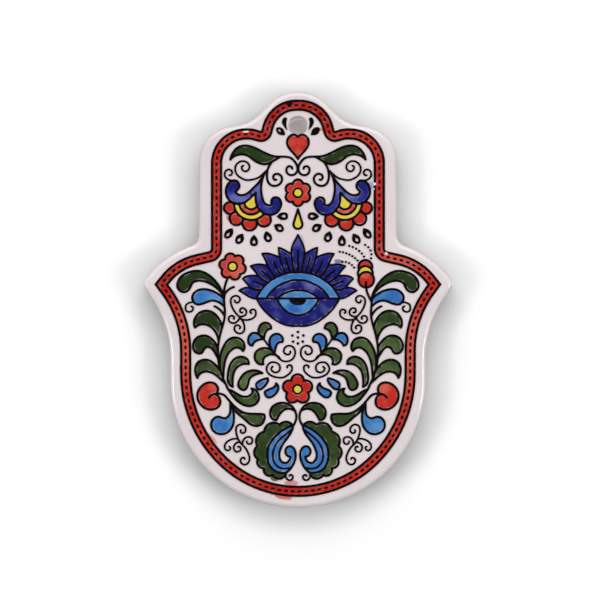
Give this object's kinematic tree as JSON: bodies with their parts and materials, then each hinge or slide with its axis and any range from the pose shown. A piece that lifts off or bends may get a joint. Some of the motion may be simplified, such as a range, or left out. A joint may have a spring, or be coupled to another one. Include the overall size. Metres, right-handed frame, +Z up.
{
  "type": "hamsa hand wall ornament",
  "caption": "Flat glazed clay hamsa hand that hangs on a wall by a hole in its top knob, painted with an eye, leaves, flowers and a stitched red border.",
  "frame": {"origin": "on the axis of the hanging hole, in the plane of the flat back", "axes": "+X to the right as seen from the front, +Z up towards the fingers and the hole, -Y out of the painted front, +Y into the wall"},
  "size_m": [0.0898, 0.0072, 0.121],
  "materials": {
    "clay": "matte",
    "white_glaze": "gloss",
    "black_ink": "gloss",
    "red_enamel": "gloss",
    "yellow_enamel": "gloss",
    "green_enamel": "gloss",
    "cobalt_enamel": "gloss",
    "pale_blue_enamel": "gloss"
  },
  "bodies": {
    "root": {"axis_dots": "black_ink", "axis_flower_heart": "yellow_enamel", "axis_flower_lines": "black_ink", "axis_flower_petals": "red_enamel", "blossom_hooks": "cobalt_enamel", "blossom_inner_domes": "yellow_enamel", "blossom_middle_domes": "red_enamel", "blossom_outer_domes": "yellow_enamel", "blossom_petals": "red_enamel", "border_band": "red_enamel", "border_lines": "black_ink", "border_stitches": "black_ink", "bud_band": "yellow_enamel", "bud_cap": "red_enamel", "bud_disc": "red_enamel", "bud_dots": "black_ink", "clay_body": "clay", "cluster_scrolls": "black_ink", "crown_leaves": "green_enamel", "crown_lines": "black_ink", "double_scrolls": "black_ink", "drop": "yellow_enamel", "drop_line": "black_ink", "eye_band": "cobalt_enamel", "eye_lashes": "cobalt_enamel", "eye_lid": "pale_blue_enamel", "eye_lines": "black_ink", "eye_lower_iris": "pale_blue_enamel", "eye_lower_lid": "cobalt_enamel", "eye_pupil": "black_ink", "eye_upper_iris": "pale_blue_enamel", "heart": "red_enamel", "heart_line": "black_ink", "hole_seeds": "black_ink", "left_branch_drops": "pale_blue_enamel", "left_branch_fruit": "red_enamel", "left_branch_leaves": "green_enamel", "left_branch_lines": "black_ink", "left_flower_heart": "yellow_enamel", "left_flower_petals": "red_enamel", "loose_drop_lines": "black_ink", "loose_drops": "pale_blue_enamel", "loose_leaf_lines": "black_ink", "loose_leaves": "green_enamel", "lower_flower_heart": "yellow_enamel", "lower_flower_lines": "black_ink", "lower_flower_petals": "red_enamel", "paisley_backs": "green_enamel", "paisley_crescents": "pale_blue_enamel", "paisley_leaves": "green_enamel", "paisley_lines": "black_ink", "right_branch_drops": "pale_blue_enamel", "right_branch_fruit": "red_enamel", "right_branch_leaves": "green_enamel", "right_branch_lines": "black_ink", "seeds": "black_ink", "twig_blue_leaves": "pale_blue_enamel", "twig_green_leaves": "green_enamel", "twig_lines": "black_ink", "white_glaze": "white_glaze"}
  },
  "joints": []
}
